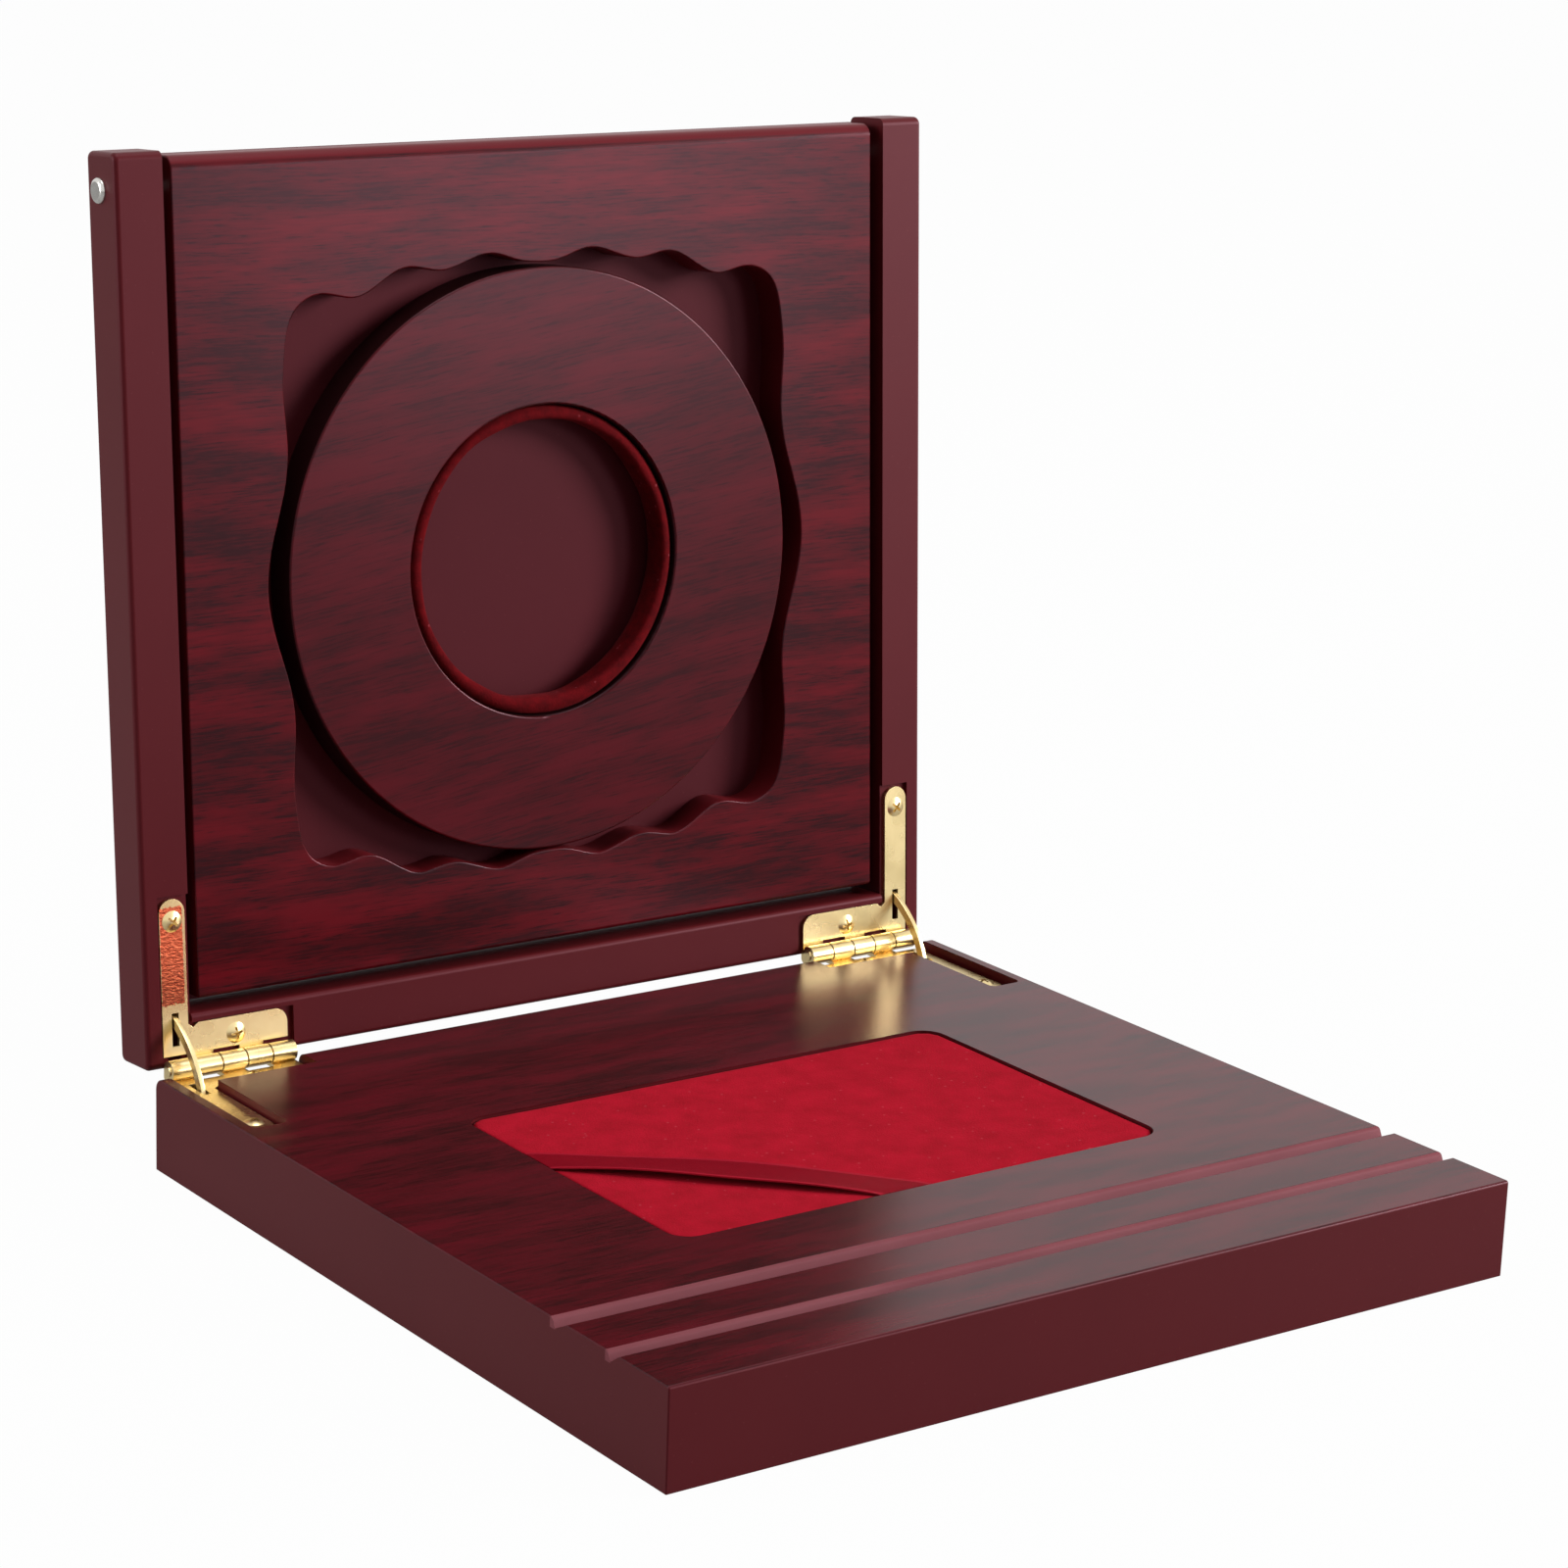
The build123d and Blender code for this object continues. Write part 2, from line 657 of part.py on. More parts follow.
def hinge_pin(name, side):
    """The loose pin through the knuckles, with rounded ends."""
    with BuildPart() as pin:
        ends = span(side, barrel_inner - hinge_pin_proud, strap_outer + hinge_pin_proud)
        with BuildSketch(section(lid_plane, min(ends))):
            Circle(hinge_pin_radius)
        extrude(amount=abs(ends[1] - ends[0]))
        fillet(edges(), radius=hinge_pin_proud)
    save(pin.part, name)


def stay(name, side):
    """A curved stay with a wider head at each end, behind the leaf."""
    centre = base_stay_centre
    base_end = stay_end_angle(centre)
    lid_end = open_angle - stay_end_angle(lid_stay_centre)
    head_turn = degrees(stay_head_length / stay_bend_radius)
    with BuildPart() as arm:
        for width, start, end in (
            (stay_thickness, base_end - head_turn, lid_end + head_turn),
            (stay_head_width, base_end - head_turn, base_end),
            (stay_head_width, lid_end, lid_end + head_turn),
        ):
            # In a section of the base plane, x runs to the front and y up
            with BuildSketch(section(base_plane, side * stay_across - width / 2)):
                with BuildLine():
                    outer = CenterArc(centre, stay_bend_radius + stay_depth / 2, start, end - start)
                    inner = CenterArc(centre, stay_bend_radius - stay_depth / 2, start, end - start)
                    Line(outer @ 0, inner @ 0)
                    Line(outer @ 1, inner @ 1)
                make_face()
            extrude(amount=width)
    save(arm.part, name)


# Hinges and stays. On the left the base leaf owns the outer knuckle, on the right the lid leaf
odd_knuckles = (0, 2, 4)
even_knuckles = (1, 3)
for name, side, base_own, lid_own in (
    ("left", 1, odd_knuckles, even_knuckles),
    ("right", -1, even_knuckles, odd_knuckles),
):
    hinge_leaf(f"{name}_base_leaf", base_plane, side, base_own)
    hinge_leaf(f"{name}_lid_leaf", lid_plane, -side, lid_own)
    hinge_screws(f"{name}_base_screws", base_plane, side, (20, 65))
    hinge_screws(f"{name}_lid_screws", lid_plane, -side, (50, 10))
    hinge_pin(f"{name}_hinge_pin", -side)
    stay(f"{name}_stay", side)
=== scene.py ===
import math
import random
import bpy
from mathutils import Matrix, Vector


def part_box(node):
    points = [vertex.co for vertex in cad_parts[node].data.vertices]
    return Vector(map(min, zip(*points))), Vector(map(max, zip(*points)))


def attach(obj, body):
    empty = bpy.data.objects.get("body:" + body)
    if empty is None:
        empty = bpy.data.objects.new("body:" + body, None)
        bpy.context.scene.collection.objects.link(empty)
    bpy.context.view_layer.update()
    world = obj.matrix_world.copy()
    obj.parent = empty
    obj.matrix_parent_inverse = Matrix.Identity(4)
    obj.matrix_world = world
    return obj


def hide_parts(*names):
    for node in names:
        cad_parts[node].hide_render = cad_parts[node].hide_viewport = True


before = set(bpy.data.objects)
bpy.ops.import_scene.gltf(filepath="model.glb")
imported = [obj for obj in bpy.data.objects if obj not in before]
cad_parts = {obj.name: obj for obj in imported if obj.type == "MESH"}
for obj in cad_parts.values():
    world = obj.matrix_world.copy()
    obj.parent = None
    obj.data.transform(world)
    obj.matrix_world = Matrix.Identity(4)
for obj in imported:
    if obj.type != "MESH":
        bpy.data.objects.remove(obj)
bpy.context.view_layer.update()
bpy.ops.object.select_all(action="DESELECT")

MM = 0.001
WHITE = (1.0, 1.0, 1.0, 1.0)

# The open lid leans back from the hinge axis: its directions up, and out of its face
LEAN = math.radians(3.84)
AXIS = Vector((0.0, 94.5, 20.15)) * MM
LID_UP = Vector((0.0, math.sin(LEAN), math.cos(LEAN)))
LID_OUT = Vector((0.0, -math.cos(LEAN), math.sin(LEAN)))

# Centres of the coin ring and of the wavy cut-out, up the lid from the axis
RING_CENTRE = 96.45 * MM
WAVE_CENTRE = 96.75 * MM

# The filmed faces: the panel's, out of the lid from the axis and as a level, and the base's top
PANEL_FACE = -3.15 * MM
PANEL_LEVEL = AXIS.dot(LID_OUT) + PANEL_FACE
BASE_TOP = 20.0 * MM


def colour(code):
    """An sRGB colour, written as six hexadecimal digits, as scene-linear values."""
    parts = [int(code[i : i + 2], 16) / 255 for i in (0, 2, 4)]
    linear = [p / 12.92 if p <= 0.04045 else ((p + 0.055) / 1.055) ** 2.4 for p in parts]
    return (*linear, 1.0)


# Node helpers
def wire(tree, node, inputs):
    """Feed a node's inputs, each from a socket or with a constant."""
    for name, value in inputs.items():
        if isinstance(value, bpy.types.NodeSocket):
            tree.links.new(value, node.inputs[name])
        else:
            node.inputs[name].default_value = value


def put(tree, kind, inputs=None, **settings):
    """A new node with its settings, and its inputs fed."""
    made = tree.nodes.new(kind)
    for name, value in settings.items():
        setattr(made, name, value)
    wire(tree, made, inputs or {})
    return made


def maths(tree, operation, a, b=0.0):
    """One operation on two sockets or numbers, of which a sine takes only the first."""
    return put(tree, "ShaderNodeMath", {0: a, 1: b}, operation=operation).outputs[0]


def weighted(tree, values, shares):
    """The sum of some values, each times its share."""
    terms = [maths(tree, "MULTIPLY", value, share) for value, share in zip(values, shares)]
    total = terms[0]
    for term in terms[1:]:
        total = maths(tree, "ADD", total, term)
    return total


def between(tree, value, low, high):
    """One where a value lies between two limits, and nothing elsewhere."""
    above = maths(tree, "GREATER_THAN", value, low)
    below = maths(tree, "LESS_THAN", value, high)
    return maths(tree, "MULTIPLY", above, below)


def ranged(tree, value, low, high, at_low=0.0, at_high=1.0):
    """A value carried from one range to another, and held at both ends."""
    limits = {"From Min": low, "From Max": high, "To Min": at_low, "To Max": at_high}
    return put(tree, "ShaderNodeMapRange", {"Value": value, **limits}).outputs[0]


def axes_of(tree, vector):
    """The X, Y and Z of a vector."""
    return tuple(put(tree, "ShaderNodeSeparateXYZ", {0: vector}).outputs)


def noise(tree, vector, scale, detail=2.0, roughness=0.5):
    """Noise on a vector, from 0 to 1."""
    inputs = {"Vector": vector, "Scale": scale, "Detail": detail, "Roughness": roughness}
    return put(tree, "ShaderNodeTexNoise", inputs).outputs["Fac"]


def dots(tree, vector, scale, solid, gone):
    """Dots at the centres of cells: whole within one radius and gone past the other."""
    cells = put(tree, "ShaderNodeTexVoronoi", {"Vector": vector, "Scale": scale})
    return ranged(tree, cells.outputs["Distance"], solid, gone, 1.0, 0.0)


# A mix node's sockets for colours come after those for numbers and vectors
MIX_SHARE, MIX_FIRST, MIX_SECOND, MIX_RESULT = 0, 6, 7, 2


def mix_colour(tree, share, first, second):
    """A mix of two colours, by the share of the second."""
    inputs = {MIX_SHARE: share, MIX_FIRST: first, MIX_SECOND: second}
    return put(tree, "ShaderNodeMix", inputs, data_type="RGBA").outputs[MIX_RESULT]


def new_group(name, inputs, outputs):
    """An empty shader group with named sockets."""
    group = bpy.data.node_groups.new(name, "ShaderNodeTree")
    for label, kind, value in inputs:
        socket = group.interface.new_socket(label, in_out="INPUT", socket_type=kind)
        if value is not None:
            socket.default_value = value
    for label, kind in outputs:
        group.interface.new_socket(label, in_out="OUTPUT", socket_type=kind)
    return group, group.nodes.new("NodeGroupInput"), group.nodes.new("NodeGroupOutput")


# Camera, fitted to the box's straight edges in the photograph: its place in metres, turn in
# degrees, lens and sensor in millimetres, shift in sensor widths and nearest sight in metres
CAMERA_PLACE = (-0.4820665, -0.6359381, 0.3030652)
CAMERA_TURN = (74.5719, -1.6654, -34.6083)
LENS = 96.645
SENSOR = 36.0
SHIFT = (0.06533, 0.02324)
NEAREST = 0.01

# The dim light from all around, which the camera and mirrors see as white
SKY_STRENGTH = 0.045

# The floor: its width and its drop under the box, its grey, and how far it glows white to the
# camera and in mirrors
FLOOR_SIZE, FLOOR_DROP = 12.0, 0.0002
FLOOR_GREY = (0.4, 0.4, 0.4, 1.0)
WHITE_TO_CAMERA, WHITE_IN_MIRRORS = 0.98, 0.3

# Lamps: name, place, point aimed at, width across and power
LAMPS = (
    ("key", (1.42, -0.85, 0.66), (0.0, 0.05, 0.08), 0.66, 37.0),
    ("sheen", (0.86, -1.25, 0.3), (0.0, 0.1, 0.15), 0.5, 4.0),
    ("top", (0.1, -0.1, 1.4), (0.0, 0.0, 0.0), 0.8, 8.0),
    ("side", (-1.3, 0.45, 0.45), (0.0, 0.0, 0.05), 0.8, 11.0),
)


def add_camera():
    data = bpy.data.cameras.new("view")
    data.lens = LENS
    data.sensor_width = SENSOR
    data.shift_x, data.shift_y = SHIFT
    data.clip_start = NEAREST
    camera = bpy.data.objects.new("view", data)
    camera.location = CAMERA_PLACE
    camera.rotation_euler = [math.radians(angle) for angle in CAMERA_TURN]
    bpy.context.scene.collection.objects.link(camera)
    bpy.context.scene.camera = camera


def add_lamp(name, place, aim, size, power):
    data = bpy.data.lights.new(name, "AREA")
    data.shape = "DISK"
    data.size = size
    data.energy = power
    lamp = bpy.data.objects.new(name, data)
    lamp.location = place
    lamp.rotation_euler = (Vector(place) - Vector(aim)).to_track_quat("Z", "Y").to_euler()
    bpy.context.scene.collection.objects.link(lamp)


def light_world():
    """A dim sky that the camera, mirrors and glass see at full white."""
    world = bpy.data.worlds.new("studio")
    bpy.context.scene.world = world
    world.use_nodes = True
    tree = world.node_tree
    tree.nodes.clear()
    rays = put(tree, "ShaderNodeLightPath").outputs
    seen = maths(tree, "MAXIMUM", rays["Is Camera Ray"], rays["Is Glossy Ray"])
    seen = maths(tree, "MAXIMUM", seen, rays["Is Transmission Ray"])
    strength = ranged(tree, seen, 0.0, 1.0, SKY_STRENGTH, 1.0)
    sky = put(tree, "ShaderNodeBackground", {"Color": WHITE, "Strength": strength})
    put(tree, "ShaderNodeOutputWorld", {"Surface": sky.outputs[0]})


def add_floor():
    """A grey floor that shows white to the camera and a little in mirrors."""
    bpy.ops.mesh.primitive_plane_add(size=FLOOR_SIZE, location=(0, 0, -FLOOR_DROP))
    floor = bpy.context.object
    floor.name = "floor"
    material = bpy.data.materials.new("floor_white")
    material.use_nodes = True
    tree = material.node_tree
    shader = tree.nodes["Principled BSDF"]
    wire(tree, shader, {"Base Color": FLOOR_GREY, "Roughness": 0.9, "Specular IOR Level": 0.1})
    glow = put(tree, "ShaderNodeEmission", {"Color": WHITE})
    rays = put(tree, "ShaderNodeLightPath").outputs
    seen = maths(tree, "MULTIPLY", rays["Is Camera Ray"], WHITE_TO_CAMERA)
    mirrored = maths(tree, "MULTIPLY", rays["Is Glossy Ray"], WHITE_IN_MIRRORS)
    share = maths(tree, "MAXIMUM", seen, mirrored)
    mix = put(tree, "ShaderNodeMixShader", {0: share, 1: shader.outputs[0], 2: glow.outputs[0]})
    wire(tree, tree.nodes["Material Output"], {"Surface": mix.outputs[0]})
    floor.data.materials.append(material)


# Layers of the printed grain: length and width of their marks in millimetres, place in the noise,
# detail and roughness. The bend moves the other layers by its height, in millimetres
GRAIN_BEND = (70.0, 30.0, 3.1, 1.0, 0.5)
GRAIN_BANDS = (45.0, 8.0, 0.0, 3.0, 0.6)
GRAIN_STREAKS = (9.0, 0.5, 7.7, 3.0, 0.65)
GRAIN_FIBRES = (3.0, 0.2, 5.2, 2.0, 0.5)
BEND_HEIGHT = 3.0

# Shares of bands and streaks in how red the grain is, and the range from middle to bright
RED_SHARES = (0.75, 0.25)
RED_RANGE = (0.44, 0.62)

# Shares of bands, streaks and fibres in the dark marks, the range over which they fade, and the
# most that they cover
DARK_SHARES = (0.33, 0.45, 0.22)
DARK_RANGE = (0.415, 0.49)
DARK_MOST = 0.95


def film_group():
    """Printed wood grain: long streaks along X, worked out in millimetres."""
    group, given, made = new_group(
        "printed_grain",
        (
            ("Vector", "NodeSocketVector", None),
            ("Dark", "NodeSocketColor", colour("23080a")),
            ("Middle", "NodeSocketColor", colour("3c070b")),
            ("Bright", "NodeSocketColor", colour("5c0912")),
        ),
        (("Color", "NodeSocketColor"), ("Streaks", "NodeSocketFloat")),
    )
    x, y, z = axes_of(group, given.outputs["Vector"])
    along = maths(group, "MULTIPLY", x, 1.0 / MM)
    across = maths(group, "MULTIPLY", maths(group, "ADD", y, z), 1.0 / MM)

    def layer(height, length, width, offset, detail, roughness):
        """Noise drawn out along the grain."""
        u = maths(group, "DIVIDE", along, length)
        v = maths(group, "DIVIDE", height, width)
        place = put(group, "ShaderNodeCombineXYZ", {0: u, 1: v, 2: offset})
        return noise(group, place.outputs[0], 1.0, detail, roughness)

    bend = maths(group, "MULTIPLY", layer(across, *GRAIN_BEND), BEND_HEIGHT)
    bent = maths(group, "ADD", across, bend)
    bands = layer(bent, *GRAIN_BANDS)
    streaks = layer(bent, *GRAIN_STREAKS)
    fibres = layer(bent, *GRAIN_FIBRES)
    redness = ranged(group, weighted(group, (bands, streaks), RED_SHARES), *RED_RANGE)
    plain = mix_colour(group, redness, given.outputs["Middle"], given.outputs["Bright"])
    marks = weighted(group, (bands, streaks, fibres), DARK_SHARES)
    darkness = ranged(group, marks, *DARK_RANGE, DARK_MOST, 0.0)
    final = mix_colour(group, darkness, plain, given.outputs["Dark"])
    wire(group, made, {"Color": final, "Streaks": marks})
    return group


def speck_group():
    """Fine dust nibs and a faint orange peel, as paint sprayed on fibreboard has."""
    group, given, made = new_group(
        "sprayed_surface",
        (("Vector", "NodeSocketVector", None),),
        (
            ("Specks", "NodeSocketFloat"),
            ("Mottle", "NodeSocketFloat"),
            ("Height", "NodeSocketFloat"),
        ),
    )
    vector = given.outputs["Vector"]
    specks = dots(group, vector, scale=420.0, solid=0.05, gone=0.09)
    mottle = noise(group, vector, scale=45.0, detail=3.0)
    peel = noise(group, vector, scale=900.0)
    wire(group, made, {"Specks": specks, "Mottle": mottle, "Height": peel})
    return group


def nap_group():
    """Velvet pile: brushed patches, short lint and a fine nap."""
    group, given, made = new_group(
        "velvet_nap",
        (("Vector", "NodeSocketVector", None), ("Patch", "NodeSocketFloat", 160.0)),
        (
            ("Patches", "NodeSocketFloat"),
            ("Lint", "NodeSocketFloat"),
            ("Height", "NodeSocketFloat"),
        ),
    )
    vector = given.outputs["Vector"]
    patches = noise(group, vector, given.outputs["Patch"], detail=5.0, roughness=0.62)
    lint = dots(group, vector, scale=330.0, solid=0.06, gone=0.12)
    threads = noise(group, vector, scale=2600.0)
    wire(group, made, {"Patches": patches, "Lint": lint, "Height": threads})
    return group


GRAIN = film_group()
SPRAY = speck_group()
NAP = nap_group()


def start_material(name):
    """A new material with its shader and Object coordinates."""
    material = bpy.data.materials.new(name)
    material.use_nodes = True
    tree = material.node_tree
    place = put(tree, "ShaderNodeTexCoord")
    return material, tree, tree.nodes["Principled BSDF"], place.outputs["Object"]


def use_group(tree, group, vector, inputs=None):
    """A shader group placed in a material, with its own values."""
    return put(tree, "ShaderNodeGroup", {"Vector": vector, **(inputs or {})}, node_tree=group)


def bump(tree, height, strength, distance):
    """The normal of a surface that stands up by a height."""
    inputs = {"Height": height, "Strength": strength, "Distance": distance}
    return put(tree, "ShaderNodeBump", inputs).outputs[0]


# The red-tinted lacquer warms what it mirrors
WARM_GLOSS = (1.0, 0.55, 0.67, 1.0)

# Roughness of the sprayed paint and of the film, and how strongly both mirror
PAINT_ROUGHNESS, FILM_ROUGHNESS = 0.42, 0.24
PAINT_SPECULAR = 0.2

# The paint's dust specks and their strength, and how much lighter its mottle is
SPECK_TONE = colour("6a3438")
SPECK_SHARE = 0.25
MOTTLE_LIFT = 1.18


def paint_layers(tree, vector, tone):
    """Colour and surface of the sprayed paint."""
    spray = use_group(tree, SPRAY, vector)
    lighter = (*(min(1.0, channel * MOTTLE_LIFT) for channel in tone[:3]), 1.0)
    plain = mix_colour(tree, spray.outputs["Mottle"], tone, lighter)
    specks = maths(tree, "MULTIPLY", spray.outputs["Specks"], SPECK_SHARE)
    return mix_colour(tree, specks, plain, SPECK_TONE), spray


def paint_material(name, tone, roughness=PAINT_ROUGHNESS, specular=PAINT_SPECULAR):
    """Maroon paint, sprayed on fibreboard."""
    material, tree, shader, vector = start_material(name)
    body, spray = paint_layers(tree, vector, tone)
    surface = {
        "Base Color": body,
        "Roughness": roughness,
        "Specular IOR Level": specular,
        "Specular Tint": WARM_GLOSS,
        "Normal": bump(tree, spray.outputs["Height"], strength=0.12, distance=0.03 * MM),
    }
    wire(tree, shader, surface)
    return material


# Film is gone at the first of these depths under a face, and whole at the second
FILM_FADE = (0.35 * MM, 0.15 * MM)

# The base's two grooves, from the front of the slope to the lip behind it, in millimetres
GROOVES = ((-77.8, -74.15), (-61.15, -56.55))

# The film lines each slope: how far it starts before it, and how far to each side it goes
SLOPE_LEAD, SLOPE_REACH = 0.3, 99.6

# A groove's back wall is bare fibreboard, its pale pink partly its own and partly painted light from
# the front lamp: its reach before and behind the lip, its foot, its top and its roughness
WALL_BEFORE, WALL_BEHIND = 0.95, 0.75
WALL_FOOT, WALL_TOP = 17.9, 19.985
WALL_ROUGHNESS = 0.6


def groove_masks(tree, vector):
    """Where film lines the grooves' slopes, and where their back walls are bare."""
    x, y, z = axes_of(tree, vector)
    slopes = 0.0
    walls = 0.0
    for front, lip in GROOVES:
        slope = between(tree, y, (front - SLOPE_LEAD) * MM, (lip - WALL_BEFORE) * MM)
        wall = between(tree, y, (lip - WALL_BEFORE) * MM, (lip + WALL_BEHIND) * MM)
        slopes = maths(tree, "MAXIMUM", slopes, slope)
        walls = maths(tree, "MAXIMUM", walls, wall)
    slopes = maths(tree, "MULTIPLY", slopes, between(tree, x, -SLOPE_REACH * MM, SLOPE_REACH * MM))
    slopes = maths(tree, "MULTIPLY", slopes, maths(tree, "GREATER_THAN", z, WALL_FOOT * MM))
    walls = maths(tree, "MULTIPLY", walls, between(tree, z, WALL_FOOT * MM, WALL_TOP * MM))
    return slopes, walls


def film_material(name, out, level, wall_tone, tilt=0.0, tones=None, grooved=False):
    """Printed film on one flat face of a painted piece, and in the base's grooves."""
    material, tree, shader, vector = start_material(name)
    turn = (0.0, math.radians(tilt), 0.0)
    turned = put(tree, "ShaderNodeMapping", {"Vector": vector, "Rotation": turn})
    grain = use_group(tree, GRAIN, turned.outputs[0], tones)
    body, spray = paint_layers(tree, vector, wall_tone)
    reach = put(tree, "ShaderNodeVectorMath", {0: vector, 1: out}, operation="DOT_PRODUCT")
    covered = ranged(tree, reach.outputs["Value"], *(level - depth for depth in FILM_FADE))
    if grooved:
        slopes, walls = groove_masks(tree, vector)
        covered = maths(tree, "MAXIMUM", covered, slopes)
    tone = mix_colour(tree, covered, body, grain.outputs["Color"])
    roughness = ranged(tree, covered, 0.0, 1.0, PAINT_ROUGHNESS, FILM_ROUGHNESS)
    height = grain.outputs["Streaks"]
    if grooved:
        # Pale pink of the back walls: partly the fibreboard's own, partly painted light from the
        # front lamp
        rough_wall_and_painted_light = mix_colour(tree, spray.outputs["Mottle"], colour("642f35"), colour("83474d"))
        tone = mix_colour(tree, walls, tone, rough_wall_and_painted_light)
        roughness = maths(tree, "MAXIMUM", roughness, maths(tree, "MULTIPLY", walls, WALL_ROUGHNESS))
        coarse = noise(tree, vector, scale=1500.0)
        height = maths(tree, "ADD", height, maths(tree, "MULTIPLY", coarse, walls))
    surface = {
        "Base Color": tone,
        "Roughness": roughness,
        "Specular IOR Level": PAINT_SPECULAR,
        "Specular Tint": WARM_GLOSS,
        "Normal": bump(tree, height, strength=0.08, distance=0.06 * MM),
    }
    wire(tree, shader, surface)
    return material


LINT_TONE = colour("d8707c")
LINT_SHARE = 0.18


def velvet_material(name, deep, light, patch, sheen):
    """Velvet between two tones, with lint on it."""
    material, tree, shader, vector = start_material(name)
    nap = use_group(tree, NAP, vector, {"Patch": patch})
    pile = mix_colour(tree, ranged(tree, nap.outputs["Patches"], 0.3, 0.7), deep, light)
    lint = maths(tree, "MULTIPLY", nap.outputs["Lint"], LINT_SHARE)
    surface = {
        "Base Color": mix_colour(tree, lint, pile, LINT_TONE),
        "Roughness": 0.95,
        "Specular IOR Level": 0.08,
        "Sheen Weight": sheen,
        "Sheen Roughness": 0.35,
        "Sheen Tint": colour("e05060"),
        "Normal": bump(tree, nap.outputs["Height"], strength=0.5, distance=0.2 * MM),
    }
    wire(tree, shader, surface)
    return material


# The ribbon's length between its tails, its width and its woven edge, in millimetres
RIBBON_LENGTH, RIBBON_WIDTH, SELVEDGE = 73.0, 8.0, 0.7

# The ribbon's weave, in radians for each millimetre along it and across it, and how worn it is
WEFT_PITCH, WARP_PITCH = 18.0, 30.0
WORN_SHARE = 0.5


def ribbon_material():
    """Satin ribbon: fine weft ribs across it, by its own UV map in millimetres."""
    material, tree, shader, vector = start_material("ribbon_satin")
    uv = put(tree, "ShaderNodeUVMap", uv_map="along_and_across")
    along, across, _ = axes_of(tree, uv.outputs[0])
    weft = maths(tree, "SINE", maths(tree, "MULTIPLY", along, WEFT_PITCH))
    warp = maths(tree, "SINE", maths(tree, "MULTIPLY", across, WARP_PITCH))
    weave = maths(tree, "MULTIPLY", weft, warp)
    shade = ranged(tree, weave, -1.0, 1.0)
    tone = mix_colour(tree, shade, colour("760a18"), colour("940f22"))
    wear = noise(tree, vector, scale=420.0, detail=4.0, roughness=0.65)
    worn = maths(tree, "MULTIPLY", wear, WORN_SHARE)
    tone = mix_colour(tree, worn, tone, colour("5c0811"))
    middle = between(tree, across, SELVEDGE, RIBBON_WIDTH - SELVEDGE)
    surface = {
        "Base Color": mix_colour(tree, middle, colour("a01a2c"), tone),
        "Roughness": 0.55,
        "Specular IOR Level": 0.04,
        "Specular Tint": WARM_GLOSS,
        "Normal": bump(tree, weave, strength=0.35, distance=0.06 * MM),
    }
    wire(tree, shader, surface)
    return material


def brass_layers(tree, vector):
    """Colour, roughness and faint waves of stamped brass, satin from tumbling."""
    waves = noise(tree, vector, scale=160.0)
    tone = mix_colour(tree, waves, colour("e0c68c"), colour("eed9a6"))
    roughness = ranged(tree, waves, 0.3, 0.7, at_low=0.24, at_high=0.31)
    return tone, roughness, waves


def brass_material():
    """Brass of the hinges, stays and screws."""
    material, tree, shader, vector = start_material("satin_brass")
    tone, roughness, waves = brass_layers(tree, vector)
    surface = {
        "Base Color": tone,
        "Metallic": 1.0,
        "Roughness": roughness,
        "Normal": bump(tree, waves, strength=0.02, distance=0.1 * MM),
    }
    wire(tree, shader, surface)
    return material


# The painted reflection of the red pad on one strap: its heights, the strap's middle and the half
# width that it covers
PAD_REFLECTION_LOW, PAD_REFLECTION_HIGH = 34.0 * MM, 54.6 * MM
PAD_REFLECTION_MIDDLE, PAD_REFLECTION_HALF = -93.2 * MM, 2.6 * MM

# The painted reflection's tones change between these heights
PAD_REFLECTION_TONES_FROM, PAD_REFLECTION_TONES_TO = 34.5 * MM, 44.0 * MM

# How far the painted reflection's ends and its sides wander
RAGGED_ENDS, RAGGED_SIDES = 1.4 * MM, 0.5 * MM

# The creases in the painted reflection: how fine they are along each axis, their lean in degrees,
# and how far they pale it with painted highlights
CREASE_SCALE = (900.0, 900.0, 1900.0)
CREASE_LEAN = 35.0
CREASE_SHARE = 0.5


def painted_reflection_brass_material():
    """Brass whose strap has a crinkled red reflection of the pad painted inside its bare rim."""
    material, tree, shader, vector = start_material("strap_brass_painted_reflection")
    bare, roughness, _ = brass_layers(tree, vector)
    x, _, z = axes_of(tree, vector)
    ragged = maths(tree, "MULTIPLY", noise(tree, vector, scale=1300.0, detail=3.0), RAGGED_ENDS)
    up = maths(tree, "ADD", z, ragged)
    uneven = maths(tree, "MULTIPLY", noise(tree, vector, scale=2200.0), RAGGED_SIDES)
    side = maths(tree, "ADD", x, uneven)
    covered = maths(
        tree,
        "MULTIPLY",
        between(tree, up, PAD_REFLECTION_LOW, PAD_REFLECTION_HIGH),
        between(tree, side, PAD_REFLECTION_MIDDLE - PAD_REFLECTION_HALF, PAD_REFLECTION_MIDDLE + PAD_REFLECTION_HALF),
    )
    lean = (0.0, math.radians(CREASE_LEAN), 0.0)
    folds = put(
        tree, "ShaderNodeMapping", {"Vector": vector, "Rotation": lean, "Scale": CREASE_SCALE}
    )
    crinkle = noise(tree, folds.outputs[0], scale=1.0, detail=3.0, roughness=0.6)
    fade = ranged(tree, z, PAD_REFLECTION_TONES_FROM, PAD_REFLECTION_TONES_TO)
    # The pad's painted reflection, darker towards its foot
    tint = mix_colour(tree, fade, colour("842014"), colour("c04a30"))
    paler = maths(tree, "MULTIPLY", crinkle, CREASE_SHARE)
    tint = mix_colour(tree, paler, tint, colour("e89a70"))
    height = maths(tree, "MULTIPLY", crinkle, covered)
    surface = {
        "Base Color": mix_colour(tree, covered, bare, tint),
        "Metallic": 1.0,
        "Roughness": roughness,
        "Normal": bump(tree, height, strength=0.5, distance=0.25 * MM),
    }
    wire(tree, shader, surface)
    return material


